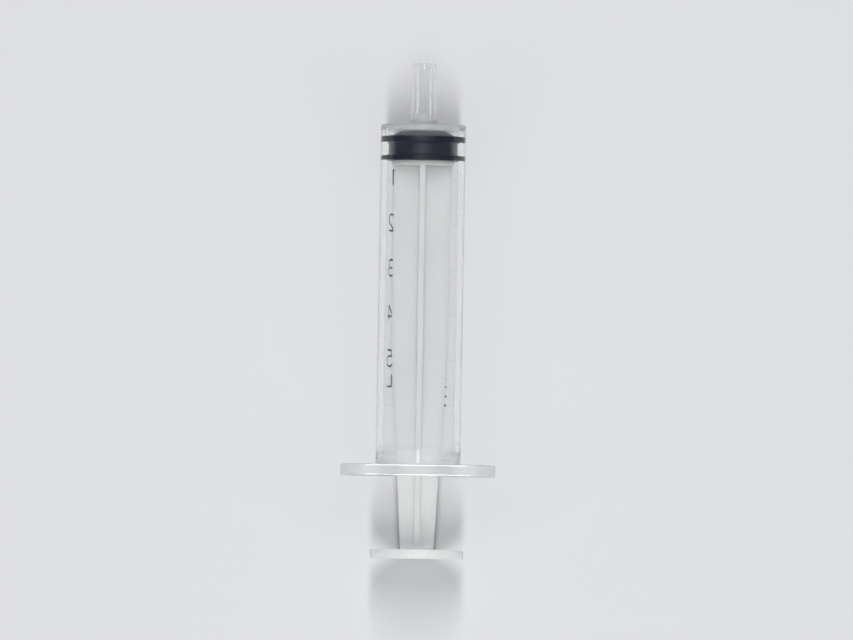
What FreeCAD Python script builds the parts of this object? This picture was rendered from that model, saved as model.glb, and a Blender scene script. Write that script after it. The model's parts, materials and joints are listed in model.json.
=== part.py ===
import FreeCAD, Part
import math
import os
import Sketcher

# Disposable three-piece syringe, 5 mL, with a slip tip. All sizes are in millimetres.
# Every piece is drawn with its axis along +Y and the tip end ahead. They are then laid down
# together, on the flat side of the finger flange and the front corner of the barrel.

doc = FreeCAD.newDocument("Syringe")

# Driving sizes
sizes = doc.addObject("Spreadsheet::Sheet", "Sizes")
DRIVING_SIZES = [
    # barrel tube and front wall
    ("bore_dia", 12.7),
    ("barrel_wall", 1.05),
    ("barrel_length", 61.3),
    ("front_wall", 0.7),
    ("seat_corner", 0.45),
    ("front_corner", 0.35),
    ("mouth_chamfer", 0.35),
    # slip tip, whose diameter grows by six hundredths of its length
    ("tip_end_dia", 3.97),
    ("tip_taper", 0.06),
    ("tip_length", 10.6),
    ("tip_root_chamfer", 0.6),
    ("tip_end_chamfer", 0.2),
    ("lumen_dia", 2.0),
    # finger flange: a disc cut by two flats
    ("flange_wing", 6.1),
    ("flange_overhang", 1.4),
    ("flange_thickness", 2.1),
    ("flange_corner", 2.5),
    ("flange_rim", 0.3),
    ("flange_root", 0.5),
    # low ring inside the mouth that stops the gasket from coming out
    ("bead_station", 3.6),
    ("bead_width", 1.5),
    ("bead_crest", 0.4),
    ("bead_height", 0.18),
    # gasket
    ("rib_clearance", 0.02),
    ("nose_gap", 0.35),
    ("nose_inset", 2.45),
    ("nose_step", 0.8),
    ("nose_depth", 1.0),
    ("front_rib", 1.17),
    ("waist_length", 2.18),
    ("waist_relief", 0.33),
    ("waist_slope", 0.25),
    ("rear_rib", 0.96),
    ("rib_chamfer", 0.15),
    ("lip_thickness", 1.3),
    ("socket_clearance", 0.05),
    # plunger rod
    ("neck_dia", 3.0),
    ("head_dia", 5.2),
    ("head_height", 1.2),
    ("head_nose", 0.9),
    ("head_tip_dia", 2.8),
    ("disc_gap", 0.95),
    ("disc_thickness", 0.8),
    ("fin_gap", 1.4),
    ("fin_thickness", 1.05),
    ("fin_straight_length", 32.0),
    ("fin_end_width", 5.8),
    ("fin_root_fillet", 0.8),
    ("thumb_dia", 16.3),
    ("thumb_thickness", 1.65),
    ("thumb_chamfer", 0.2),
    ("thumb_standoff", 12.7),
    ("groove_count", 2),
    ("groove_inner_radius", 3.0),
    ("groove_pitch", 2.2),
    ("groove_width", 0.9),
    ("groove_depth", 0.2),
    # printed scale
    ("zero_lead", 0.65),
    ("ink_thickness", 0.02),
    ("ink_width", 0.3),
    ("lines_each_ml", 5),
    ("scale_margin", 11.0),
    ("line_start_angle", 45),
    ("long_line_angle", 45),
    ("short_line_angle", 2),
]
for row, (alias, number) in enumerate(DRIVING_SIZES, start=1):
    sizes.set("A%d" % row, alias)
    sizes.set("B%d" % row, str(number))
    sizes.setAlias("B%d" % row, alias)
doc.recompute()

# Sizes worked out from the driving ones, as expressions that the sketches and features share
BORE_RADIUS = "Sizes.bore_dia / 2"
BARREL_RADIUS = "(Sizes.bore_dia / 2 + Sizes.barrel_wall)"
TIP_END_RADIUS = "(Sizes.tip_end_dia / 2)"
TIP_ROOT_RADIUS = "(Sizes.tip_end_dia + Sizes.tip_taper * Sizes.tip_length) / 2"
TIP_END = "Sizes.barrel_length + Sizes.tip_length"
SEAT_STATION = "Sizes.barrel_length - Sizes.front_wall"
FLANGE_RADIUS = "(" + BARREL_RADIUS + " + Sizes.flange_wing)"
FLANGE_FLAT = "(" + BARREL_RADIUS + " + Sizes.flange_overhang)"
FLANGE_ROOT = "min(Sizes.flange_root; (Sizes.flange_overhang - Sizes.flange_rim) / 2)"

RIB_RADIUS = "(Sizes.bore_dia / 2 - Sizes.rib_clearance)"
WAIST_RADIUS = "(" + RIB_RADIUS + " - Sizes.waist_relief)"
NOSE_BASE_RADIUS = "(" + RIB_RADIUS + " - Sizes.nose_step)"
NOSE_RADIUS = "(Sizes.bore_dia / 2 - Sizes.nose_inset)"
WAIST_START = "Sizes.rear_rib"
WAIST_END = "Sizes.rear_rib + Sizes.waist_length"
FRONT_RIB_END = "Sizes.rear_rib + Sizes.waist_length + Sizes.front_rib"
GASKET_LENGTH = "(" + FRONT_RIB_END + " + Sizes.nose_depth)"
SOCKET_MOUTH_RADIUS = "Sizes.neck_dia / 2 + Sizes.socket_clearance"
SOCKET_RADIUS = "Sizes.head_dia / 2 + Sizes.socket_clearance"
SOCKET_END_RADIUS = "Sizes.head_tip_dia / 2 + Sizes.socket_clearance"
HEAD_START = "Sizes.lip_thickness + Sizes.socket_clearance"
HEAD_SHOULDER = "(" + HEAD_START + " + Sizes.head_height)"
HEAD_END = "(" + HEAD_SHOULDER + " + Sizes.head_nose)"

GASKET_STATION = "(Sizes.barrel_length - Sizes.front_wall - Sizes.nose_gap - " + GASKET_LENGTH + ")"
ZERO_STATION = "(" + GASKET_STATION + " + " + FRONT_RIB_END + " + Sizes.zero_lead)"
ROD_LENGTH = "(" + GASKET_STATION + " + Sizes.thumb_standoff)"
DISC_RADIUS = "(Sizes.bore_dia / 2 - Sizes.disc_gap)"
FIN_RADIUS = "(Sizes.bore_dia / 2 - Sizes.fin_gap)"
FIN_END_RADIUS = "Sizes.fin_end_width / 2"
THUMB_RADIUS = "Sizes.thumb_dia / 2"
THUMB_REAR = "(" + ROD_LENGTH + " + Sizes.thumb_thickness)"

# One millilitre is a thousand cubic millimetres of bore
ML_PITCH = "(1000 / (pi * Sizes.bore_dia ^ 2 / 4))"
LINE_PITCH = "(" + ML_PITCH + " / Sizes.lines_each_ml)"
LINE_STEPS = "floor((" + ZERO_STATION + " - Sizes.scale_margin) / " + LINE_PITCH + ")"

CLOSE = 1e-4


def value(expression):
    """The number that an expression of the sheet gives now."""
    return float(sizes.evalExpression(expression))


def new_body(name):
    body = doc.addObject("PartDesign::Body", name)
    body.Label = name
    return body


def origin_feature(body, role):
    """The body's own base plane or axis with this role, such as XY_Plane or Y_Axis."""
    return next(feature for feature in body.Origin.OriginFeatures if feature.Role == role)


def new_sketch(body, name, plane):
    sketch = body.newObject("Sketcher::SketchObject", name)
    sketch.AttachmentSupport = (origin_feature(body, plane), "")
    sketch.MapMode = "FlatFace"
    return sketch


def hold_point(sketch, geometry, end, across, along):
    """Tie one end of a line or arc to the sketch origin by two dimensions from the sheet."""
    for kind, expression, axis in (("DistanceX", across, -2), ("DistanceY", along, -1)):
        if expression == "0":
            sketch.addConstraint(Sketcher.Constraint("PointOnObject", geometry, end, axis))
            continue
        index = sketch.addConstraint(
            Sketcher.Constraint(kind, -1, 1, geometry, end, value(expression))
        )
        sketch.setExpression("Constraints[%d]" % index, expression)


def outline(body, name, plane, corners):
    """A closed outline of straight edges through corners, each an (across, along) pair."""
    sketch = new_sketch(body, name, plane)
    points = [FreeCAD.Vector(value(across), value(along), 0) for across, along in corners]
    count = len(points)
    for number in range(count):
        sketch.addGeometry(Part.LineSegment(points[number], points[(number + 1) % count]))
    for number in range(count):
        following = (number + 1) % count
        sketch.addConstraint(Sketcher.Constraint("Coincident", number, 2, following, 1))
    for number, (across, along) in enumerate(corners):
        hold_point(sketch, number, 1, across, along)
    return sketch


def revolve(body, name, sketch):
    feature = body.newObject("PartDesign::Revolution", name)
    feature.Profile = sketch
    feature.ReferenceAxis = (origin_feature(body, "Y_Axis"), "")
    feature.Angle = 360
    sketch.Visibility = False
    doc.recompute()
    return feature


def groove(body, name, sketch):
    feature = body.newObject("PartDesign::Groove", name)
    feature.Profile = sketch
    feature.ReferenceAxis = (origin_feature(body, "Y_Axis"), "")
    feature.Angle = 360
    doc.recompute()
    return feature


def ring_edges(feature, radius, station):
    """Names of the feature's circular edges of this radius at this place along the axis."""
    names = []
    for number, edge in enumerate(feature.Shape.Edges, start=1):
        if not isinstance(edge.Curve, Part.Circle):
            continue
        level = abs(edge.Curve.Center.y - value(station)) < CLOSE
        if level and abs(edge.Curve.Radius - value(radius)) < CLOSE:
            names.append("Edge%d" % number)
    return names


def dress(body, kind, name, base, edges, size_property, expression):
    """A fillet or chamfer on named edges, its size bound to the sheet."""
    feature = body.newObject("PartDesign::" + kind, name)
    feature.Base = (base, edges)
    feature.setExpression(size_property, expression)
    doc.recompute()
    return feature


def fillet(body, name, base, edges, expression):
    return dress(body, "Fillet", name, base, edges, "Radius", expression)


def chamfer(body, name, base, edges, expression):
    return dress(body, "Chamfer", name, base, edges, "Size", expression)


# Barrel
# One clear moulding. Its wall is revolved as one section, from the mouth up the outside, over the
# front face and the tapered tip, back down the lumen, out over the flat end of the bore and along
# the bore. The flange is a disc cut by two flats, and a low bead inside the mouth keeps the plunger
# in.

def flange_outline(body):
    """Disc of the flange's radius cut by two flats, with the bore left open."""
    sketch = new_sketch(body, "flange_outline", "XZ_Plane")
    radius = value(FLANGE_RADIUS)
    flat = value(FLANGE_FLAT)
    half_angle = math.asin(flat / radius)
    half_chord = radius * math.cos(half_angle)
    circle = Part.Circle(FreeCAD.Vector(0, 0, 0), FreeCAD.Vector(0, 0, 1), radius)
    right_end = sketch.addGeometry(Part.ArcOfCircle(circle, -half_angle, half_angle))
    left_end = sketch.addGeometry(
        Part.ArcOfCircle(circle, math.pi - half_angle, math.pi + half_angle)
    )
    upper_flat = sketch.addGeometry(
        Part.LineSegment(FreeCAD.Vector(half_chord, flat, 0), FreeCAD.Vector(-half_chord, flat, 0))
    )
    lower_flat = sketch.addGeometry(
        Part.LineSegment(FreeCAD.Vector(-half_chord, -flat, 0), FreeCAD.Vector(half_chord, -flat, 0))
    )
    bore = sketch.addGeometry(
        Part.Circle(FreeCAD.Vector(0, 0, 0), FreeCAD.Vector(0, 0, 1), value(BORE_RADIUS))
    )
    for arc in (right_end, left_end, bore):
        sketch.addConstraint(Sketcher.Constraint("Coincident", arc, 3, -1, 1))
    sketch.addConstraint(Sketcher.Constraint("Coincident", right_end, 2, upper_flat, 1))
    sketch.addConstraint(Sketcher.Constraint("Coincident", upper_flat, 2, left_end, 1))
    sketch.addConstraint(Sketcher.Constraint("Coincident", left_end, 2, lower_flat, 1))
    sketch.addConstraint(Sketcher.Constraint("Coincident", lower_flat, 2, right_end, 1))
    for line in (upper_flat, lower_flat):
        sketch.addConstraint(Sketcher.Constraint("Horizontal", line))
    for arc, expression in ((right_end, FLANGE_RADIUS), (left_end, FLANGE_RADIUS), (bore, BORE_RADIUS)):
        index = sketch.addConstraint(Sketcher.Constraint("Radius", arc, value(expression)))
        sketch.setExpression("Constraints[%d]" % index, expression)
    for line, sign in ((upper_flat, ""), (lower_flat, "-")):
        expression = sign + FLANGE_FLAT
        index = sketch.addConstraint(
            Sketcher.Constraint("DistanceY", -1, 1, line, 1, value(expression))
        )
        sketch.setExpression("Constraints[%d]" % index, expression)
    return sketch


def flange_corner_edges(feature):
    """The four upright edges where the flats meet the rounded ends."""
    names = []
    for number, edge in enumerate(feature.Shape.Edges, start=1):
        start, end = edge.firstVertex().Point, edge.lastVertex().Point
        upright = math.hypot(start.x - end.x, start.z - end.z) < CLOSE
        reach = math.hypot(start.x, start.z)
        if upright and abs(reach - value(FLANGE_RADIUS)) < CLOSE:
            names.append("Edge%d" % number)
    return names


def flange_rim_edges(feature):
    """The edges round the flange's front and rear faces, outside the tube."""
    names = []
    for number, edge in enumerate(feature.Shape.Edges, start=1):
        box = edge.BoundBox
        reach = max(math.hypot(point.x, point.z) for point in edge.discretize(5))
        thin = box.YLength < CLOSE
        front = abs(box.YMin - value("Sizes.flange_thickness")) < CLOSE
        rear = abs(box.YMin) < CLOSE
        if thin and (front or rear) and reach > value(BARREL_RADIUS) + CLOSE:
            names.append("Edge%d" % number)
    return names


def make_barrel():
    body = new_body("barrel")
    wall = outline(body, "wall_section", "XY_Plane", [
        (BORE_RADIUS, "0"),
        (BARREL_RADIUS, "0"),
        (BARREL_RADIUS, "Sizes.barrel_length"),
        (TIP_ROOT_RADIUS, "Sizes.barrel_length"),
        (TIP_END_RADIUS, TIP_END),
        ("Sizes.lumen_dia / 2", TIP_END),
        ("Sizes.lumen_dia / 2", SEAT_STATION),
        (BORE_RADIUS + " - Sizes.seat_corner", SEAT_STATION),
        (BORE_RADIUS, SEAT_STATION + " - Sizes.seat_corner"),
    ])
    tube = revolve(body, "tube_and_tip", wall)

    flange = body.newObject("PartDesign::Pad", "flange")
    flange.Profile = flange_outline(body)
    flange.setExpression("Length", "Sizes.flange_thickness")
    flange.Reversed = True
    doc.recompute()
    if flange.Shape.Volume < tube.Shape.Volume + CLOSE or flange.Shape.BoundBox.YMin < -CLOSE:
        raise RuntimeError("the flange points away from the tube")

    crest = "Sizes.bore_dia / 2 - Sizes.bead_height"
    bead_section = outline(body, "bead_section", "XY_Plane", [
        (BORE_RADIUS, "Sizes.bead_station - Sizes.bead_width / 2"),
        (crest, "Sizes.bead_station - Sizes.bead_crest / 2"),
        (crest, "Sizes.bead_station + Sizes.bead_crest / 2"),
        (BORE_RADIUS, "Sizes.bead_station + Sizes.bead_width / 2"),
    ])
    bead = revolve(body, "retention_bead", bead_section)
    corners = fillet(body, "flange_corners", bead, flange_corner_edges(bead), "Sizes.flange_corner")
    rim = chamfer(body, "flange_rim", corners, flange_rim_edges(corners), "Sizes.flange_rim")
    root_edges = ring_edges(rim, BARREL_RADIUS, "Sizes.flange_thickness")
    root = chamfer(body, "flange_root", rim, root_edges, FLANGE_ROOT)
    front_edges = ring_edges(root, BARREL_RADIUS, "Sizes.barrel_length")
    front = chamfer(body, "front_corner", root, front_edges, "Sizes.front_corner")
    tip_root_edges = ring_edges(front, TIP_ROOT_RADIUS, "Sizes.barrel_length")
    tip_root = chamfer(body, "tip_root", front, tip_root_edges, "Sizes.tip_root_chamfer")
    tip_edges = ring_edges(tip_root, TIP_END_RADIUS, TIP_END)
    tip_end = chamfer(body, "tip_end", tip_root, tip_edges, "Sizes.tip_end_chamfer")
    mouth_edges = ring_edges(tip_end, BORE_RADIUS, "0")
    body.Tip = chamfer(body, "mouth_chamfer", tip_end, mouth_edges, "Sizes.mouth_chamfer")
    return body


# Gasket
# One rubber moulding. Two sealing ribs that slope to a waist between them, a cone nose whose flat
# end rests just short of the front of the bore, and a lipped socket behind that snaps over the head
# of the plunger rod.

def make_gasket():
    body = new_body("gasket")
    rubber = outline(body, "rubber_section", "XY_Plane", [
        ("0", GASKET_LENGTH),
        ("0", HEAD_END + " + Sizes.socket_clearance"),
        (SOCKET_END_RADIUS, HEAD_END + " + Sizes.socket_clearance"),
        (SOCKET_RADIUS, HEAD_SHOULDER),
        (SOCKET_RADIUS, "Sizes.lip_thickness"),
        (SOCKET_MOUTH_RADIUS, "Sizes.lip_thickness"),
        (SOCKET_MOUTH_RADIUS, "0"),
        (RIB_RADIUS, "0"),
        (RIB_RADIUS, WAIST_START),
        (WAIST_RADIUS, WAIST_START + " + Sizes.waist_slope"),
        (WAIST_RADIUS, WAIST_END + " - Sizes.waist_slope"),
        (RIB_RADIUS, WAIST_END),
        (RIB_RADIUS, FRONT_RIB_END),
        (NOSE_BASE_RADIUS, FRONT_RIB_END),
        (NOSE_RADIUS, GASKET_LENGTH),
    ])
    blank = revolve(body, "rubber_blank", rubber)
    rib_edges = []
    for station in ("0", FRONT_RIB_END):
        rib_edges += ring_edges(blank, RIB_RADIUS, station)
    body.Tip = chamfer(body, "rib_edges", blank, rib_edges, "Sizes.rib_chamfer")
    return body


# Plunger rod
# One moulding. A round thumb rest, a shaft of two crossed fins that runs straight behind the
# gasket and narrows towards the thumb, a backing disc, and a neck with a snap head.

def fin_root_edges(feature):
    """The edges where the fins' broad sides stand on the thumb rest."""
    names = []
    for number, edge in enumerate(feature.Shape.Edges, start=1):
        if not isinstance(edge.Curve, Part.Line):
            continue
        box = edge.BoundBox
        level = box.YLength < CLOSE and abs(box.YMin + value(ROD_LENGTH)) < CLOSE
        if level:
            names.append("Edge%d" % number)
    return names


def make_plunger_rod():
    body = new_body("plunger_rod")
    front = outline(body, "head_section", "XY_Plane", [
        ("0", "-Sizes.disc_thickness"),
        (DISC_RADIUS, "-Sizes.disc_thickness"),
        (DISC_RADIUS, "0"),
        ("Sizes.neck_dia / 2", "0"),
        ("Sizes.neck_dia / 2", HEAD_START),
        ("Sizes.head_dia / 2", HEAD_START),
        ("Sizes.head_dia / 2", HEAD_SHOULDER),
        ("Sizes.head_tip_dia / 2", HEAD_END),
        ("0", HEAD_END),
    ])
    revolve(body, "disc_and_head", front)

    thumb = outline(body, "thumb_section", "XY_Plane", [
        ("0", "-" + THUMB_REAR),
        (THUMB_RADIUS, "-" + THUMB_REAR),
        (THUMB_RADIUS, "-" + ROD_LENGTH),
        ("0", "-" + ROD_LENGTH),
    ])
    revolve(body, "thumb_rest", thumb)

    fin_outline = outline(body, "fin_outline", "XY_Plane", [
        (FIN_RADIUS, "-Sizes.disc_thickness"),
        (FIN_RADIUS, "-Sizes.fin_straight_length"),
        (FIN_END_RADIUS, "-" + ROD_LENGTH),
        ("-" + FIN_END_RADIUS, "-" + ROD_LENGTH),
        ("-" + FIN_RADIUS, "-Sizes.fin_straight_length"),
        ("-" + FIN_RADIUS, "-Sizes.disc_thickness"),
    ])
    fin = body.newObject("PartDesign::Pad", "fin")
    fin.Profile = fin_outline
    fin.SideType = "Symmetric"
    fin.setExpression("Length", "Sizes.fin_thickness")
    doc.recompute()
    cross = body.newObject("PartDesign::PolarPattern", "crossed_fins")
    cross.Originals = [fin]
    cross.Axis = (origin_feature(body, "Y_Axis"), "")
    cross.Mode = "Spacing"
    cross.Offset = 90
    cross.Occurrences = 2
    body.Tip = cross
    doc.recompute()

    root_edges = fin_root_edges(cross)
    roots = fillet(body, "fin_roots", cross, root_edges, "Sizes.fin_root_fillet")
    thumb_edges = ring_edges(roots, THUMB_RADIUS, "-" + ROD_LENGTH)
    thumb_edges += ring_edges(roots, THUMB_RADIUS, "-" + THUMB_REAR)
    last = chamfer(body, "thumb_edges", roots, thumb_edges, "Sizes.thumb_chamfer")
    for ring in range(int(value("Sizes.groove_count"))):
        inner = "(Sizes.groove_inner_radius + %d * Sizes.groove_pitch)" % ring
        outer = inner + " + Sizes.groove_width"
        floor = "-" + THUMB_REAR + " + Sizes.groove_depth"
        section = outline(body, "groove_section_%d" % (ring + 1), "XY_Plane", [
            (inner, "-" + THUMB_REAR),
            (outer, "-" + THUMB_REAR),
            (outer, floor),
            (inner, floor),
        ])
        before = last.Shape.Volume
        last = groove(body, "thumb_groove_%d" % (ring + 1), section)
        if last.Shape.Volume > before - CLOSE:
            raise RuntimeError("a thumb groove cuts nothing")
    body.Tip = last
    return body


# Printed scale
# Ink strokes on the outside of the tube, centred on its underside, from the zero line, which is
# where the front rib stands when the nose is pushed home. A long stroke stands at each millilitre
# and a short one at each fifth.

def ink_stroke(body, name, section, end_angle):
    """Stroke that runs round the tube from the common start angle to its own end angle."""
    stroke = body.newObject("PartDesign::Revolution", name)
    stroke.Profile = section
    stroke.ReferenceAxis = (origin_feature(body, "Y_Axis"), "")
    stroke.Type = "TwoAngles"
    stroke.setExpression("Angle", end_angle)
    stroke.setExpression("Angle2", "Sizes.line_start_angle")
    doc.recompute()
    return stroke


def repeat_along_barrel(body, name, stroke, pitch, count):
    row = body.newObject("PartDesign::LinearPattern", name)
    row.Originals = [stroke]
    row.Direction = (origin_feature(body, "Y_Axis"), "")
    row.Reversed = True
    row.Mode = "Spacing"
    row.setExpression("Offset", pitch)
    row.setExpression("Occurrences", count)
    body.Tip = row
    doc.recompute()
    return row


def make_graduation_scale():
    body = new_body("graduation_scale")
    body.AllowCompound = True
    ink_outer = "(" + BARREL_RADIUS + " + Sizes.ink_thickness)"
    section = outline(body, "ink_section", "YZ_Plane", [
        ("-Sizes.ink_width / 2", "-" + ink_outer),
        ("Sizes.ink_width / 2", "-" + ink_outer),
        ("Sizes.ink_width / 2", "-" + BARREL_RADIUS),
        ("-Sizes.ink_width / 2", "-" + BARREL_RADIUS),
    ])
    long_stroke = ink_stroke(body, "long_stroke", section, "Sizes.long_line_angle")
    long_count = "floor(" + LINE_STEPS + " / Sizes.lines_each_ml) + 1"
    repeat_along_barrel(body, "millilitre_lines", long_stroke, ML_PITCH, long_count)
    short_stroke = ink_stroke(body, "short_stroke", section, "Sizes.short_line_angle")
    repeat_along_barrel(body, "fifth_lines", short_stroke, LINE_PITCH, LINE_STEPS + " + 1")
    return body


# Rest pose
# The syringe lies on the lower front edge of its flange and on the front corner of its barrel.
# Seen from the side the table is the line through those two points, which gives the tilt of the
# axis and its height, and the length is then centred on the origin.

def rest_pose():
    edge_y = value("Sizes.flange_thickness - Sizes.flange_rim")
    edge_z = -value(FLANGE_FLAT)
    corner_y = value("Sizes.barrel_length - Sizes.front_corner")
    corner_z = -value(BARREL_RADIUS)
    tilt = math.atan2(corner_z - edge_z, corner_y - edge_y)
    rise = edge_y * math.sin(tilt) - edge_z * math.cos(tilt)
    tip_radius = value(TIP_END_RADIUS + " - Sizes.tip_end_chamfer")
    tip_y = value(TIP_END) * math.cos(tilt) + tip_radius * math.sin(tilt)
    rear = value(THUMB_REAR + " - " + GASKET_STATION)
    thumb_radius = value(THUMB_RADIUS + " - Sizes.thumb_chamfer")
    thumb_y = -rear * math.cos(tilt) - thumb_radius * math.sin(tilt)
    turn = FreeCAD.Rotation(FreeCAD.Vector(1, 0, 0), -math.degrees(tilt))
    return FreeCAD.Placement(FreeCAD.Vector(0, -(tip_y + thumb_y) / 2, rise), turn)


def place(body, rest, station):
    """Set a piece at its place along the syringe's axis, then lay it down with the others."""
    along = FreeCAD.Placement(FreeCAD.Vector(0, value(station), 0), FreeCAD.Rotation())
    body.Placement = rest.multiply(along)


rest = rest_pose()
pieces = [
    (make_barrel(), "0"),
    (make_graduation_scale(), ZERO_STATION),
    (make_gasket(), GASKET_STATION),
    (make_plunger_rod(), GASKET_STATION),
]
for body, station in pieces:
    place(body, rest, station)
doc.recompute()

for item in doc.Objects:
    if "Invalid" in item.State or "Error" in item.State:
        raise RuntimeError(item.Label + " did not compute")
os.makedirs("parts", exist_ok=True)
for body, station in pieces:
    if body.Shape.isNull() or not body.Shape.isValid():
        raise RuntimeError(body.Label + " has no valid shape")
    body.Shape.exportStep("parts/" + body.Label + ".step")
    box = body.Shape.BoundBox
    print(
        body.Label, "solids", len(body.Shape.Solids), "volume %.2f" % body.Shape.Volume,
        "x %.2f %.2f" % (box.XMin, box.XMax), "y %.2f %.2f" % (box.YMin, box.YMax),
        "z %.3f %.3f" % (box.ZMin, box.ZMax),
    )
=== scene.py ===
import json
import math
import bpy
import numpy as np
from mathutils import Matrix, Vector


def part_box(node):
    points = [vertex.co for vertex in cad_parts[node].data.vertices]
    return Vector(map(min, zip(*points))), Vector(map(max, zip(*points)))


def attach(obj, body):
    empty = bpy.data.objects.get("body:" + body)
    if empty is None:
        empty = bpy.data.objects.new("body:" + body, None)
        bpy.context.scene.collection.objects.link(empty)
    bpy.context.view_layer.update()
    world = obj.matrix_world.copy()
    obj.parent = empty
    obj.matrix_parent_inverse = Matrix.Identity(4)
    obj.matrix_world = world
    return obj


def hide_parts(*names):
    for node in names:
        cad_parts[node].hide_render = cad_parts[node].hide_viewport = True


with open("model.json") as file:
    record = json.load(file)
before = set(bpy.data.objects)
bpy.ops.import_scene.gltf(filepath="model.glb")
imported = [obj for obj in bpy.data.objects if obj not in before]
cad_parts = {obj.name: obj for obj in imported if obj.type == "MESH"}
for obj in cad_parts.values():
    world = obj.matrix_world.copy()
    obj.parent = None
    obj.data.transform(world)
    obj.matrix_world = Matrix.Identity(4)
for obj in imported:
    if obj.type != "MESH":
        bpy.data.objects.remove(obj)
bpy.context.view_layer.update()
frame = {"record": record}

# Barrel
# One moulding in clear polypropylene: slip tip with its lumen, front wall, tube and finger flange
# in one skin. It lies on the flange's flat side and on its front corner, so its axis dips a little.

MM = 0.001
BORE_R, TUBE_R, TUBE_LENGTH = 6.35, 7.4, 61.3
TIP_MOUTH, TIP_MOUTH_R, TIP_SLOPE, LUMEN_R = 71.9, 1.985, 0.03, 1.0
WING_R, FLAT_R, WING_CORNER, FLANGE_THICK, RIM_ROUND = 13.5, 8.8, 2.5, 2.1, 0.3
ROOT_ROUND, FRONT_ROUND, TIP_ROOT_ROUND, TIP_MOUTH_ROUND, MOUTH_ROUND = 0.5, 0.4, 0.9, 0.2, 0.35
LUMEN_MOUTH_CHAMFER, LUMEN_FOOT_CHAMFER = 0.12, 0.1
SEAT_STATION, SEAT_ROUND = 60.6, 0.45
BEAD_STATION, BEAD_HALF, BEAD_HEIGHT = 3.6, 0.9, 0.12
TURN_STEP, WING_CORNER_TURNS = 1.5, (44, 57)
QUARTER = np.linspace(0, math.pi / 2, 7)

mounts = {mount["name"]: np.array(mount["pos_m"]) for mount in frame["record"]["mounts"]}
ahead = mounts["luer_tip"] - mounts["thumb_rest"]
ahead /= np.linalg.norm(ahead)
sideways = np.array([1.0, 0.0, 0.0])
upwards = np.cross(sideways, ahead)
mouth_centre = mounts["luer_tip"] - ahead * TIP_MOUTH * MM


def lay_down(points):
    """Points drawn on the syringe's own axis, in millimetres (across, along from the mouth, up),
    as metres of the shared frame: mouth centre + across * sideways + along * ahead
    + up * upwards."""
    across, along, up = (points[..., k, None] * MM for k in range(3))
    return mouth_centre + across * sideways + along * ahead + up * upwards


def skin(name, rings, joined=False):
    """Closed mesh over a grid of rings (ring, step, xyz). Each ring runs once round; joined ties
    the last ring to the first, and otherwise a fan from its own centre closes each end ring. Faces
    are turned over when the volume they enclose, the sum of a.(b x c) / 6, comes out negative."""
    count, steps = rings.shape[:2]
    points = lay_down(rings).reshape(-1, 3)
    first_rings = np.arange(count if joined else count - 1)
    ring, step = np.meshgrid(first_rings, np.arange(steps), indexing="ij")
    ahead_ring, next_step = (ring + 1) % count, (step + 1) % steps
    corners = (ring * steps + step, ahead_ring * steps + step,
               ahead_ring * steps + next_step, ring * steps + next_step)
    quads = np.stack(corners, -1).reshape(-1, 4)
    caps = []
    if not joined:
        for end, order in ((0, (0, 1, 2)), (count - 1, (0, 2, 1))):
            loop = end * steps + np.arange(steps)
            centre = np.full(steps, len(points))
            points = np.vstack([points, points[loop].mean(0)])
            caps.append(np.stack([centre, loop, np.roll(loop, -1)], -1)[:, order])
    faces = [*quads.tolist(), *(face for cap in caps for face in cap.tolist())]
    a, b, c, d = (points[quads[:, k]] for k in range(4))
    volume = (a * np.cross(b, c)).sum() + (a * np.cross(c, d)).sum()
    for cap in caps:
        a, b, c = (points[cap[:, k]] for k in range(3))
        volume += (a * np.cross(b, c)).sum()
    if volume < 0:
        faces = [face[::-1] for face in faces]
    mesh = bpy.data.meshes.new(name)
    mesh.from_pydata(points.tolist(), [], faces)
    mesh.validate()
    piece = bpy.data.objects.new(name, mesh)
    bpy.context.scene.collection.objects.link(piece)
    return piece


def smooth(piece, sharpest=40):
    """Smooth shading, with an edge kept crisp where its faces meet at more than sharpest
    degrees."""
    piece.data.shade_smooth()
    piece.data.set_sharp_from_angle(angle=math.radians(sharpest))


def turned(section, turns):
    """Grid of points with one ring for each (radius, station) pair of a section, turned about the
    axis: (r sin t, station, r cos t). A radius is one number for its ring, or one for each turn."""
    radii = np.stack([np.broadcast_to(radius, turns.shape) for radius, _ in section])
    stations = np.array([station for _, station in section], float)
    stations = np.broadcast_to(stations[:, None], radii.shape)
    return np.stack([radii * np.sin(turns), stations, radii * np.cos(turns)], -1)


def rounded(centre_r, centre_s, size, start, end, steps=7):
    """(radius, station) pairs round an arc: centre + size * (cos a, sin a) for a from start to end
    degrees."""
    angles = np.radians(np.linspace(start, end, steps))
    return [(centre_r + size * math.cos(a), centre_s + size * math.sin(a)) for a in angles]


def straight_run(start, end, count):
    """Count (radius, station) pairs evenly spaced from start, which is left out, to end:
    start + (end - start) * share."""
    shares = np.linspace(0, 1, count + 1)[1:]
    return [(start[0] + (end[0] - start[0]) * share, start[1] + (end[1] - start[1]) * share)
            for share in shares]


def flange_reach(turns, inset):
    """Distance from the axis to the flange's edge, set in by inset: the wing's circle, then the
    corner's arc about its own centre, then the flat, by the angle from the nearer wing."""
    from_wing = np.arctan2(np.abs(np.cos(turns)), np.abs(np.sin(turns)))
    away = WING_R - WING_CORNER
    centre_up = FLAT_R - WING_CORNER
    centre_across = math.sqrt(away ** 2 - centre_up ** 2)
    off = from_wing - math.atan2(centre_up, centre_across)
    arc = away * np.cos(off) + np.sqrt(
        np.maximum((WING_CORNER - inset) ** 2 - (away * np.sin(off)) ** 2, 0)
    )
    reach = np.where(off > 0, arc, WING_R - inset)
    flat = (FLAT_R - inset) / np.maximum(np.sin(from_wing), 1e-6)
    flat_starts = math.atan2(FLAT_R - inset, centre_across)
    return np.where(from_wing > flat_starts, flat, reach)


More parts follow.
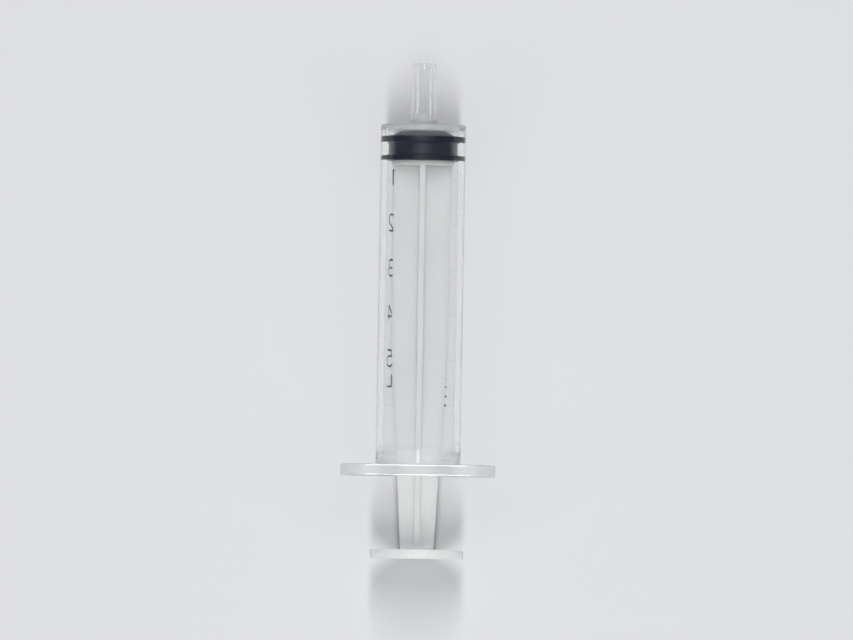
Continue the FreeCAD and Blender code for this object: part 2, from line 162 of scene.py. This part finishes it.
def barrel_section(turns):
    """The barrel's whole section from the mouth out over the flange, up the outside, over the tip
    and back down the lumen and the bore, as (radius, station) pairs."""
    rim = flange_reach(turns, RIM_ROUND)
    mouth_r, root_r = BORE_R + MOUTH_ROUND, TUBE_R + ROOT_ROUND
    root_end = TUBE_LENGTH + TIP_ROOT_ROUND
    cone_r = TIP_MOUTH_R + TIP_SLOPE * (TIP_MOUTH - root_end)
    cone_end = (TIP_MOUTH_R + TIP_SLOPE * TIP_MOUTH_ROUND, TIP_MOUTH - TIP_MOUTH_ROUND)
    lumen_top = (LUMEN_R, TIP_MOUTH - LUMEN_MOUTH_CHAMFER)
    seat_inner = (LUMEN_R + LUMEN_FOOT_CHAMFER, SEAT_STATION)
    seat_centre = (BORE_R - SEAT_ROUND, SEAT_STATION - SEAT_ROUND)
    bead_back, bead_front = BEAD_STATION - BEAD_HALF, BEAD_STATION + BEAD_HALF
    return [
        (mouth_r, 0), *straight_run((mouth_r, 0), (rim, 0), 5),
        *((flange_reach(turns, RIM_ROUND * (1 - math.sin(a))), RIM_ROUND * (1 - math.cos(a)))
          for a in QUARTER[1:]),
        *((flange_reach(turns, RIM_ROUND * (1 - math.cos(a))),
           FLANGE_THICK - RIM_ROUND + RIM_ROUND * math.sin(a)) for a in QUARTER),
        *straight_run((rim, FLANGE_THICK), (root_r, FLANGE_THICK), 5),
        *rounded(root_r, FLANGE_THICK + ROOT_ROUND, ROOT_ROUND, -90, -180)[1:],
        *straight_run((TUBE_R, FLANGE_THICK + ROOT_ROUND), (TUBE_R, TUBE_LENGTH - FRONT_ROUND), 39),
        *rounded(TUBE_R - FRONT_ROUND, TUBE_LENGTH - FRONT_ROUND, FRONT_ROUND, 0, 90)[1:],
        *rounded(cone_r + TIP_ROOT_ROUND, root_end, TIP_ROOT_ROUND, -90, -180),
        *straight_run((cone_r, root_end), cone_end, 8),
        *rounded(TIP_MOUTH_R - TIP_MOUTH_ROUND, cone_end[1], TIP_MOUTH_ROUND, 0, 90)[1:],
        (LUMEN_R + LUMEN_MOUTH_CHAMFER, TIP_MOUTH), lumen_top,
        *straight_run(lumen_top, (LUMEN_R, SEAT_STATION + LUMEN_FOOT_CHAMFER), 8),
        seat_inner, *straight_run(seat_inner, (seat_centre[0], SEAT_STATION), 4),
        *rounded(*seat_centre, SEAT_ROUND, 90, 0)[1:],
        *straight_run((BORE_R, seat_centre[1]), (BORE_R, bead_front), 39),
        *((BORE_R - BEAD_HEIGHT * (0.5 + 0.5 * math.cos(math.pi * across)),
           BEAD_STATION + BEAD_HALF * across) for across in np.linspace(1, -1, 15)[1:]),
        *straight_run((BORE_R, bead_back), (BORE_R, MOUTH_ROUND), 3),
        *rounded(mouth_r, MOUTH_ROUND, MOUTH_ROUND, 180, 270)[1:-1],
    ]


# Turns at even steps, and closer round the corners of the wings, the same in every quarter
closer = np.radians(np.linspace(*WING_CORNER_TURNS, 24))
quadrant = np.union1d(np.radians(np.arange(0, 90, TURN_STEP)), closer)
all_turns = np.concatenate([
    np.sort(math.pi * half + side * quadrant) for half in (0, 1) for side in (-1, 1)
])
turns = np.unique(np.round(np.mod(all_turns, 2 * math.pi), 7))
barrel = skin("clear_barrel", turned(barrel_section(turns), turns), joined=True)
smooth(barrel)

NOISE_LOW, NOISE_HIGH = 0.3, 0.7


def new_material(name):
    """An empty node material, its node and link lists, and the socket that takes its shader."""
    material = bpy.data.materials.new(name)
    material.use_nodes = True
    nodes, links = material.node_tree.nodes, material.node_tree.links
    nodes.clear()
    return material, nodes, links, nodes.new("ShaderNodeOutputMaterial").inputs["Surface"]


def noise_on_piece(nodes, links, scale, detail=4.0, stretch=(1.0, 1.0, 1.0)):
    """Noise on the piece's own coordinates, drawn out along any axis by a smaller stretch."""
    place = nodes.new("ShaderNodeTexCoord")
    mapping = nodes.new("ShaderNodeMapping")
    mapping.inputs["Scale"].default_value = stretch
    noise = nodes.new("ShaderNodeTexNoise")
    noise.inputs["Scale"].default_value = scale
    noise.inputs["Detail"].default_value = detail
    links.new(place.outputs["Object"], mapping.inputs["Vector"])
    links.new(mapping.outputs["Vector"], noise.inputs["Vector"])
    return noise.outputs["Fac"]


def ranged(nodes, links, noise, low, high):
    """Noise, which hardly leaves NOISE_LOW to NOISE_HIGH, spread over low to high."""
    node = nodes.new("ShaderNodeMapRange")
    node.inputs["From Min"].default_value = NOISE_LOW
    node.inputs["From Max"].default_value = NOISE_HIGH
    node.inputs["To Min"].default_value = low
    node.inputs["To Max"].default_value = high
    links.new(noise, node.inputs["Value"])
    return node.outputs["Result"]


def bumped(nodes, links, source, distance):
    """A normal pushed by source, up to distance in metres."""
    bump = nodes.new("ShaderNodeBump")
    bump.inputs["Distance"].default_value = distance
    links.new(source, bump.inputs["Height"])
    return bump.outputs["Normal"]


clear_pp, nodes, links, surface = new_material("clear_polypropylene")
glassy = nodes.new("ShaderNodeBsdfPrincipled")
glassy.inputs["Base Color"].default_value = (0.985, 0.988, 0.992, 1)
glassy.inputs["Transmission Weight"].default_value = 1.0
glassy.inputs["IOR"].default_value = 1.49
cloud = noise_on_piece(nodes, links, 240)
links.new(ranged(nodes, links, cloud, 0.02, 0.09), glassy.inputs["Roughness"])
flow = noise_on_piece(nodes, links, 900, 2.0, (1.0, 0.08, 1.0))
links.new(bumped(nodes, links, flow, 0.000004), glassy.inputs["Normal"])
milk_ahead = nodes.new("ShaderNodeBsdfTranslucent")
milk_back = nodes.new("ShaderNodeBsdfDiffuse")
haze = nodes.new("ShaderNodeAddShader")
for index, scatter in enumerate((milk_ahead, milk_back)):
    scatter.inputs["Color"].default_value = (0.4, 0.405, 0.41, 1)
    links.new(scatter.outputs[0], haze.inputs[index])
hazy = nodes.new("ShaderNodeMixShader")


def haze_and_sheen_between(start, end, low, high):
    """Low at station start to high at station end, along the syringe from the mouth."""
    place = nodes.new("ShaderNodeTexCoord")
    parts = nodes.new("ShaderNodeSeparateXYZ")
    links.new(place.outputs["Object"], parts.inputs[0])
    slope = nodes.new("ShaderNodeMapRange")
    slope.interpolation_type = "SMOOTHSTEP"
    for socket, station in (("From Min", start), ("From Max", end)):
        slope.inputs[socket].default_value = mouth_centre[1] + station * MM * ahead[1]
    slope.inputs["To Min"].default_value = low
    slope.inputs["To Max"].default_value = high
    links.new(parts.outputs["Y"], slope.inputs["Value"])
    return slope.outputs["Result"]


# The flange, the front wall and the tip's root are thick, so they look milkier than the tube and
# the tip. From the mouth on, haze fades ahead of the flange, rises in two steps to the front wall
# and fades again along the tip. The two steps that start over the gasket's nose are also painted
# reflection: their haze lightens the dark nose seen through the wall.
haze_and_painted_sheen = ranged(nodes, links, cloud, 0.0, 0.004)
for start, end, low, high in ((FLANGE_THICK, FLANGE_THICK + 4.0, 0.3, 0.0),
                              (SEAT_STATION - 1.5, SEAT_STATION - 1.1, 0.0, 0.07),
                              (SEAT_STATION - 0.7, SEAT_STATION + 0.4, 0.0, 0.36),
                              (TUBE_LENGTH + 0.5, TUBE_LENGTH + 3.0, 0.0, -0.36)):
    more = nodes.new("ShaderNodeMath")
    more.operation = "ADD"
    links.new(haze_and_painted_sheen, more.inputs[0])
    links.new(haze_and_sheen_between(start, end, low, high), more.inputs[1])
    haze_and_painted_sheen = more.outputs[0]
links.new(haze_and_painted_sheen, hazy.inputs["Fac"])
links.new(glassy.outputs[0], hazy.inputs[1])
links.new(haze.outputs[0], hazy.inputs[2])
# Light from lamps passes the thin clear wall almost straight, so shadows under it stay pale
path = nodes.new("ShaderNodeLightPath")
either = nodes.new("ShaderNodeMath")
either.operation = "MAXIMUM"
links.new(path.outputs["Is Shadow Ray"], either.inputs[0])
links.new(path.outputs["Is Diffuse Ray"], either.inputs[1])
straight = nodes.new("ShaderNodeBsdfTransparent")
straight.inputs["Color"].default_value = (0.985, 0.987, 0.99, 1)
through = nodes.new("ShaderNodeMixShader")
links.new(either.outputs[0], through.inputs["Fac"])
links.new(hazy.outputs[0], through.inputs[1])
links.new(straight.outputs[0], through.inputs[2])
links.new(through.outputs[0], surface)
barrel.data.materials.append(clear_pp)
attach(barrel, "barrel")
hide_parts("barrel")

# Printed scale
# Black screen-printed ink on the outside of the tube, on its underside: a long line at each
# millilitre, a short one at each fifth, plain numerals beside the lines and the unit behind them.

INK_IN, INK_OUT, LINE_WIDTH, STROKE_WIDTH = 0.01, 0.02, 0.3, 0.34
ZERO_LINE, ML_PITCH, FIFTHS, SCALE_ML = 59.9, 1000 / (math.pi * BORE_R ** 2), 5, 6
# Line ends and the numerals' left side are degrees round the tube from straight down
LINE_START, LONG_END, SHORT_END, NUMERAL_LEFT = -47.5, 43.5, 2.0, 48.3
NUMERAL_HEIGHT, NUMERAL_WIDTH, NUMERAL_RISE = 2.85, 2.3, 0.18
UNIT_HEIGHT, UNIT_BEHIND, PEN_BOX_WIDTH = 2.1, 3.7, 0.62
MM_PER_DEGREE = math.radians(TUBE_R)


def arc(across, up, size, start, end, tall=1.0, steps=22):
    """Points round an arc: centre + size * (cos a, tall * sin a) for a from start to end
    degrees."""
    a = np.radians(np.linspace(start, end, steps))
    return np.stack([across + size * np.cos(a), up + size * tall * np.sin(a)], -1)


def line(*corners, steps=9):
    """Points along straight runs between corners."""
    corners = np.array(corners, float)
    share = np.linspace(0, 1, steps)[:, None]
    runs = [a + (b - a) * share for a, b in zip(corners[:-1], corners[1:])]
    return np.concatenate([run[(0 if k == 0 else 1):] for k, run in enumerate(runs)])


# Each numeral is a few pen strokes in a box one high and PEN_BOX_WIDTH wide
NUMERALS = {
    1: [line((0.05, 0.80), (0.20, 1.0)), line((0.20, 1.0), (0.20, 0.0))],
    2: [np.concatenate([arc(0.30, 0.70, 0.30, 165, -38), line((0.50, 0.48), (0.02, 0.0))]),
        line((0.0, 0.0), (0.62, 0.0))],
    3: [arc(0.28, 0.745, 0.255, 155, -90), line((0.28, 0.49), (0.12, 0.49)),
        arc(0.28, 0.245, 0.30, 75, -155, 0.82)],
    4: [line((0.44, 1.0), (0.0, 0.30), (0.64, 0.30)), line((0.44, 1.0), (0.44, 0.0))],
    5: [line((0.56, 1.0), (0.10, 1.0), (0.06, 0.56)), arc(0.28, 0.32, 0.32, 128, -150)],
}
UNIT = [
    line((-0.85, 0.0), (-0.85, 0.66)), arc(-0.68, 0.48, 0.17, 180, 0),
    line((-0.51, 0.48), (-0.51, 0.0)), arc(-0.34, 0.48, 0.17, 180, 0),
    line((-0.17, 0.48), (-0.17, 0.0)), line((0.05, 1.0), (0.05, 0.0), (0.60, 0.0)),
]


def on_tube(path, depth):
    """Points at depth above the tube's skin, from (round, along) points in millimetres on the
    unrolled tube, round counted from straight down towards the left wing. With a = round / R they
    are (-(R + depth) sin a, along, -(R + depth) cos a)."""
    angle, reach = path[:, 0] / TUBE_R, TUBE_R + depth
    return np.stack([-reach * np.sin(angle), path[:, 1], -reach * np.cos(angle)], -1)


def run_along(path):
    """Length along the path up to each of its points: the sum of the steps before it."""
    return np.concatenate([[0], np.cumsum(np.linalg.norm(np.diff(path, axis=0), axis=1))])


def stroke_rings(path, width):
    """Rings of four points across a pen stroke that follows path on the unrolled tube. The stroke
    narrows as a circle does over half a width at each end, and is square in section: two corners
    above the surface and two just below it."""
    step = np.gradient(path, axis=0)
    normal = np.stack([-step[:, 1], step[:, 0]], -1) / np.linalg.norm(step, axis=1)[:, None]
    run = run_along(path)
    to_end = np.minimum(run, run[-1] - run) / (width / 2)
    half = width / 2 * np.sqrt(np.clip(1 - (1 - np.clip(to_end, 0, 1)) ** 2, 0.04, 1))[:, None]
    left, right = path + normal * half, path - normal * half
    corners = [(left, INK_OUT), (right, INK_OUT), (right, -INK_IN), (left, -INK_IN)]
    return np.stack([on_tube(side, depth) for side, depth in corners], 1)


def finer(path, spacing=0.12):
    """The same path with points every spacing millimetres, and closer at both ends."""
    run = run_along(path)
    inner = np.linspace(0, run[-1], max(4, int(run[-1] / spacing) + 2))
    ends = STROKE_WIDTH / 2 * np.array([0.02, 0.1, 0.3, 0.6])
    stops = np.unique(np.concatenate([inner, ends, run[-1] - ends]))
    return np.stack([np.interp(stops, run, path[:, k]) for k in (0, 1)], -1)


def scale_line(station, end):
    """A line of the scale round the tube at station, from LINE_START to end degrees."""
    path = line((LINE_START, station), (end, station), steps=40) * (MM_PER_DEGREE, 1)
    return finer(path, 0.3)


def lettered(strokes, station, height):
    """Strokes of a pen box set upright about station, their left side at the numerals' left."""
    corner = np.array([NUMERAL_LEFT * MM_PER_DEGREE, station - height / 2])
    return [finer(corner + stroke * (NUMERAL_WIDTH / PEN_BOX_WIDTH, height)) for stroke in strokes]


def two_tone(nodes, links, source, start, end, dark, light):
    """Colour that goes from dark to light while source goes from start to end."""
    shade = nodes.new("ShaderNodeValToRGB")
    low, high = shade.color_ramp.elements
    low.position, high.position = start, end
    low.color, high.color = (*dark, 1), (*light, 1)
    links.new(source, shade.inputs["Fac"])
    return shade.outputs["Color"]


pen_paths = []
for count in range(SCALE_ML * FIFTHS + 1):
    end = LONG_END if count % FIFTHS == 0 else SHORT_END
    pen_paths.append((scale_line(ZERO_LINE - count * ML_PITCH / FIFTHS, end), LINE_WIDTH))
for number, strokes in NUMERALS.items():
    station = ZERO_LINE - number * ML_PITCH + NUMERAL_RISE
    pen_paths += [(path, STROKE_WIDTH) for path in lettered(strokes, station, NUMERAL_HEIGHT)]
unit_station = ZERO_LINE - max(NUMERALS) * ML_PITCH - UNIT_BEHIND
pen_paths += [(path, STROKE_WIDTH) for path in lettered(UNIT, unit_station, UNIT_HEIGHT)]
strokes = [skin("ink_stroke", stroke_rings(path, width)) for path, width in pen_paths]
printed = strokes[0]
with bpy.context.temp_override(active_object=printed, selected_editable_objects=strokes):
    bpy.ops.object.join()
printed.name = printed.data.name = "printed_scale"
smooth(printed)

black_ink, nodes, links, surface = new_material("black_ink")
ink = nodes.new("ShaderNodeBsdfPrincipled")
ink.inputs["Roughness"].default_value = 0.45
ink.inputs["IOR"].default_value = 1.5
speckle = noise_on_piece(nodes, links, 5200, 3.0)
shade = two_tone(nodes, links, speckle, 0.35, 0.75, (0.018, 0.019, 0.023), (0.055, 0.056, 0.062))
links.new(shade, ink.inputs["Base Color"])
links.new(bumped(nodes, links, speckle, 0.000006), ink.inputs["Normal"])
links.new(ink.outputs[0], surface)
printed.data.materials.append(black_ink)
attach(printed, "barrel")
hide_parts("graduation_scale")

# Gasket
# One black rubber moulding with a cone nose, two sealing ribs squeezed against the bore, a waist
# between them, and a lipped socket behind that snaps over the plunger rod's head.

GASKET_STATION, NOSE_END = 54.94, 5.31
RIB_R, WAIST_R, NOSE_BASE_R, NOSE_R = BORE_R + 0.03, 5.99, 5.53, 3.9
REAR_RIB, FRONT_RIB_START, FRONT_RIB_END, RIB_ROUND, RIB_SLOPE = 0.96, 3.14, 4.31, 0.18, 0.3
SOCKET_R, SOCKET_SHOULDER, SOCKET_END, SOCKET_TIP_R = 2.65, 2.65, 3.5, 1.45
LIP_R, LIP_THICK, EASE = 1.55, 1.3, 0.05
POLE_R = 0.02


def revolved(name, section, steps):
    """Closed skin of revolution through (radius, station) pairs, from one end of the axis to the
    other. The first and last rings are POLE_R from the axis, and a point on it closes each."""
    turns = np.linspace(0, 2 * math.pi, steps, endpoint=False)
    return skin(name, turned(section, turns))


def at_gasket(section):
    """Stations counted from the gasket's rear face, as stations from the mouth."""
    return [(radius, GASKET_STATION + station) for radius, station in section]


gasket = revolved("rubber_gasket", at_gasket([
    (POLE_R, SOCKET_END), (SOCKET_TIP_R - 0.1, SOCKET_END), (SOCKET_TIP_R, SOCKET_END - EASE),
    (SOCKET_R - EASE, SOCKET_SHOULDER), (SOCKET_R, SOCKET_SHOULDER - 0.1),
    (SOCKET_R, LIP_THICK + EASE), (SOCKET_R - EASE, LIP_THICK), (LIP_R + EASE, LIP_THICK),
    (LIP_R, LIP_THICK - EASE), (LIP_R, 0.1), (LIP_R + 0.1, 0.0), (3.5, 0.0), (5.0, 0.0),
    *rounded(RIB_R - RIB_ROUND, RIB_ROUND, RIB_ROUND, -90, 0),
    *rounded(RIB_R - RIB_ROUND, REAR_RIB - RIB_ROUND, RIB_ROUND, 0, 60),
    *rounded(WAIST_R + RIB_ROUND, REAR_RIB + RIB_SLOPE, RIB_ROUND, 240, 180),
    (WAIST_R, 1.7), (WAIST_R, 2.4),
    *rounded(WAIST_R + RIB_ROUND, FRONT_RIB_START - RIB_SLOPE, RIB_ROUND, 180, 120),
    *rounded(RIB_R - RIB_ROUND, FRONT_RIB_START + RIB_ROUND, RIB_ROUND, -60, 0),
    *rounded(RIB_R - RIB_ROUND, FRONT_RIB_END - RIB_ROUND, RIB_ROUND, 0, 90),
    (NOSE_BASE_R + 0.12, FRONT_RIB_END), (NOSE_BASE_R + 0.02, FRONT_RIB_END + 0.05),
    (NOSE_BASE_R - 0.05, FRONT_RIB_END + 0.12), (NOSE_R + 0.08, NOSE_END - 0.06),
    *rounded(NOSE_R - 0.12, NOSE_END - 0.14, 0.14, 32, 90), (2.0, NOSE_END), (POLE_R, NOSE_END),
]), 200)
smooth(gasket)

black_rubber, nodes, links, surface = new_material("black_rubber")
rubber = nodes.new("ShaderNodeBsdfPrincipled")
rubber.inputs["IOR"].default_value = 1.5
rubber.inputs["Specular IOR Level"].default_value = 0.2
bloom = noise_on_piece(nodes, links, 420)
shade = two_tone(nodes, links, bloom, 0.3, 0.75, (0.002, 0.004, 0.011), (0.007, 0.010, 0.024))
links.new(shade, rubber.inputs["Base Color"])
links.new(ranged(nodes, links, bloom, 0.38, 0.52), rubber.inputs["Roughness"])
grain = noise_on_piece(nodes, links, 6000, 3.0)
links.new(bumped(nodes, links, grain, 0.000008), rubber.inputs["Normal"])
links.new(rubber.outputs[0], surface)
gasket.data.materials.append(black_rubber)
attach(gasket, "gasket")
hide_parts("gasket")

# Plunger rod
# One moulding in milky polypropylene: snap head and neck inside the gasket, backing disc, a shaft
# of two crossed fins that narrows towards the thumb, and a round thumb rest with two grip grooves.

DISC_R, DISC_THICK, DISC_ROUND, NECK_R = 5.4, 0.8, 0.15, 1.5
HEAD_R, HEAD_TIP_R, HEAD_START, HEAD_SHOULDER, HEAD_END, HEAD_ROUND = 2.6, 1.4, 1.36, 2.6, 3.45, 0.1
FIN_R, FIN_END_R, FIN_HALF, FIN_STRAIGHT, FIN_ROUND = 4.95, 2.9, 0.525, 32.0, 0.1
CROSSING_ROUND, FIN_FLARE, FLARE_SHARE, FIN_SUNK = 0.08, 0.8, 0.97, 0.4
ROD_LENGTH, THUMB_R, THUMB_THICK, THUMB_ROUND, GROOVE_PITCH = 67.64, 8.15, 1.65, 0.25, 2.2


def cross_section(reach, side):
    """One turn round the outline of two crossed fins that reach this far and are side thick from
    their middle: a quarter of it (over the corner of a fin's end, down its side, round the inner
    corner, out along the next fin and over its end's corner), turned by a quarter four times."""
    end, bend = FIN_ROUND, CROSSING_ROUND
    tip = np.stack([side - end + end * np.sin(QUARTER), reach - end + end * np.cos(QUARTER)], -1)
    inner = side + bend * (1 - np.stack([np.cos(QUARTER), np.sin(QUARTER)], -1))
    points = np.concatenate([tip, inner, tip[::-1, ::-1]])
    quarter = [(math.cos(q * math.pi / 2), math.sin(q * math.pi / 2)) for q in range(4)]
    return np.concatenate([
        np.stack([points[:, 0] * c + points[:, 1] * s, points[:, 1] * c - points[:, 0] * s], -1)
        for c, s in quarter
    ])


def fin_reach(back):
    """How far the fins stand out, by the distance behind the gasket: even, then a straight
    taper."""
    share = np.clip((back - FIN_STRAIGHT) / (ROD_LENGTH - FIN_STRAIGHT), 0, 1)
    return FIN_R + (FIN_END_R - FIN_R) * share


def fin_side(back):
    """Half the fins' thickness by the distance behind the gasket: even, then out to the thumb rest
    in nearly a quarter round, FLARE_SHARE of FIN_FLARE."""
    into = np.clip((back - ROD_LENGTH) / FIN_FLARE + 1, 0, 1)
    return FIN_HALF + FIN_FLARE * (1 - np.sqrt(1 - into ** 2)) * FLARE_SHARE


flare = ROD_LENGTH - FIN_FLARE * (1 - np.sin(QUARTER))
backs = np.concatenate([np.linspace(FIN_SUNK, FIN_STRAIGHT, 24),
                        np.linspace(FIN_STRAIGHT + 1, flare[0] - 0.5, 24),
                        flare, [ROD_LENGTH + FIN_SUNK]])
sections = np.stack([cross_section(fin_reach(back), fin_side(back)) for back in backs])
stations = np.broadcast_to((GASKET_STATION - backs)[:, None], sections.shape[:2])
rod = skin("milky_plunger_rod", np.stack([sections[..., 0], stations, sections[..., 1]], -1))

head = revolved("disc_and_head", at_gasket([
    (POLE_R, -DISC_THICK), (DISC_R - 1, -DISC_THICK),
    *rounded(DISC_R - DISC_ROUND, -DISC_THICK + DISC_ROUND, DISC_ROUND, -90, 0),
    *rounded(DISC_R - DISC_ROUND, -DISC_ROUND, DISC_ROUND, 0, 90),
    (NECK_R + 0.1, 0.0), (NECK_R, 0.1), (NECK_R, HEAD_START - 0.01),
    (HEAD_R - HEAD_ROUND, HEAD_START),
    *rounded(HEAD_R - HEAD_ROUND, HEAD_START + HEAD_ROUND, HEAD_ROUND, -80, 0, 4),
    (HEAD_R, HEAD_SHOULDER - 0.1), (HEAD_R - 0.05, HEAD_SHOULDER),
    (HEAD_TIP_R + 0.1, HEAD_END - 0.06), (HEAD_TIP_R, HEAD_END), (POLE_R, HEAD_END),
]), 160)

# The inner groove's section as (radius, depth); the outer one is the same, further out
groove = [(3.0, 0.0), (3.06, 0.14), (3.14, 0.2), (3.76, 0.2), (3.84, 0.14), (3.9, 0.0)]
thumb_rear = -ROD_LENGTH - THUMB_THICK
thumb = revolved("thumb_rest", at_gasket([
    (POLE_R, thumb_rear),
    *((radius, thumb_rear + depth) for radius, depth in groove),
    *((radius + GROOVE_PITCH, thumb_rear + depth) for radius, depth in groove),
    *rounded(THUMB_R - THUMB_ROUND, thumb_rear + THUMB_ROUND, THUMB_ROUND, -90, 0),
    *rounded(THUMB_R - THUMB_ROUND, -ROD_LENGTH - THUMB_ROUND, THUMB_ROUND, 0, 90),
    (4.5, -ROD_LENGTH), (POLE_R, -ROD_LENGTH),
]), 200)

for part in (head, thumb):
    union = rod.modifiers.new("one_moulding", "BOOLEAN")
    union.operation, union.solver, union.object = "UNION", "EXACT", part
    with bpy.context.temp_override(object=rod, active_object=rod):
        bpy.ops.object.modifier_apply(modifier=union.name)
    bpy.data.objects.remove(part)
smooth(rod, 35)

milky_pp, nodes, links, surface = new_material("milky_polypropylene")
milky = nodes.new("ShaderNodeBsdfPrincipled")
milky.inputs["IOR"].default_value = 1.49
milky.inputs["Subsurface Weight"].default_value = 1.0
milky.inputs["Subsurface Radius"].default_value = (1.0, 1.05, 1.1)
milky.inputs["Subsurface Scale"].default_value = 0.007
cloud = noise_on_piece(nodes, links, 160, 5.0, (1.0, 0.35, 1.0))
shade = two_tone(nodes, links, cloud, 0.3, 0.7, (0.615, 0.63, 0.636), (0.675, 0.69, 0.696))
links.new(shade, milky.inputs["Base Color"])
links.new(ranged(nodes, links, cloud, 0.42, 0.54), milky.inputs["Roughness"])
grain = noise_on_piece(nodes, links, 2600, 3.0)
links.new(bumped(nodes, links, grain, 0.00001), milky.inputs["Normal"])
links.new(milky.outputs[0], surface)
rod.data.materials.clear()
rod.data.materials.append(milky_pp)
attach(rod, "plunger")
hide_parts("plunger_rod")

# Table, light and camera
# A plain pale sheet under the syringe, soft light from high ahead and behind and weaker light from
# both sides, and a camera high above that looks straight down, turned a little, as in the view.

TABLE_HALF = 3.0
table_mesh = bpy.data.meshes.new("table")
table_mesh.from_pydata(
    [(-TABLE_HALF, -TABLE_HALF, 0), (TABLE_HALF, -TABLE_HALF, 0),
     (TABLE_HALF, TABLE_HALF, 0), (-TABLE_HALF, TABLE_HALF, 0)], [], [(0, 1, 2, 3)]
)
table = bpy.data.objects.new("table", table_mesh)
bpy.context.scene.collection.objects.link(table)
pale, nodes, links, surface = new_material("pale_table")
matt = nodes.new("ShaderNodeBsdfDiffuse")
matt.inputs["Color"].default_value = (0.68, 0.685, 0.695, 1)
links.new(matt.outputs[0], surface)
table_mesh.materials.append(pale)

SYRINGE_MIDDLE = Vector((0, 0, 0))


def soft_lamp(name, place, width, length, power):
    """An oblong lamp of this width and length in metres at place, turned to the syringe."""
    lamp = bpy.data.lights.new(name, "AREA")
    lamp.shape, lamp.size, lamp.size_y, lamp.energy = "RECTANGLE", width, length, power
    holder = bpy.data.objects.new(name, lamp)
    holder.location = place
    holder.rotation_euler = (SYRINGE_MIDDLE - Vector(place)).to_track_quat("-Z", "Y").to_euler()
    bpy.context.scene.collection.objects.link(holder)


soft_lamp("front_lamp", (0, 0.6, 1.0), 0.12, 0.75, 7.15)
soft_lamp("back_lamp", (0, -0.6, 1.0), 0.12, 0.75, 7.15)
soft_lamp("left_lamp", (-0.75, -0.55, 0.65), 0.5, 0.5, 0.85)
soft_lamp("right_lamp", (0.75, -0.55, 0.65), 0.5, 0.5, 0.8)

world = bpy.data.worlds.new("room")
bpy.context.scene.world = world
world.use_nodes = True
room = world.node_tree.nodes["Background"]
room.inputs["Color"].default_value = (0.82, 0.825, 0.835, 1)
room.inputs["Strength"].default_value = 0.2

CAMERA_ABOVE_AXIS, AXIS_HEIGHT, VIEW_WIDTH, LEAN = 2.0, 0.0088, 0.1485, 0.95
VIEW_ACROSS, VIEW_BEHIND_TIP = 0.00107, 0.04464
camera_data = bpy.data.cameras.new("camera")
camera_data.sensor_width = 36.0
camera_data.lens = camera_data.sensor_width * CAMERA_ABOVE_AXIS / VIEW_WIDTH
camera_data.clip_end = 20.0
camera = bpy.data.objects.new("camera", camera_data)
tip_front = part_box("barrel")[1].y
camera.location = (VIEW_ACROSS, tip_front - VIEW_BEHIND_TIP, CAMERA_ABOVE_AXIS + AXIS_HEIGHT)
camera.rotation_euler = (0, 0, math.radians(LEAN))
bpy.context.scene.collection.objects.link(camera)
bpy.context.scene.camera = camera
bpy.context.scene.view_settings.view_transform = "Standard"
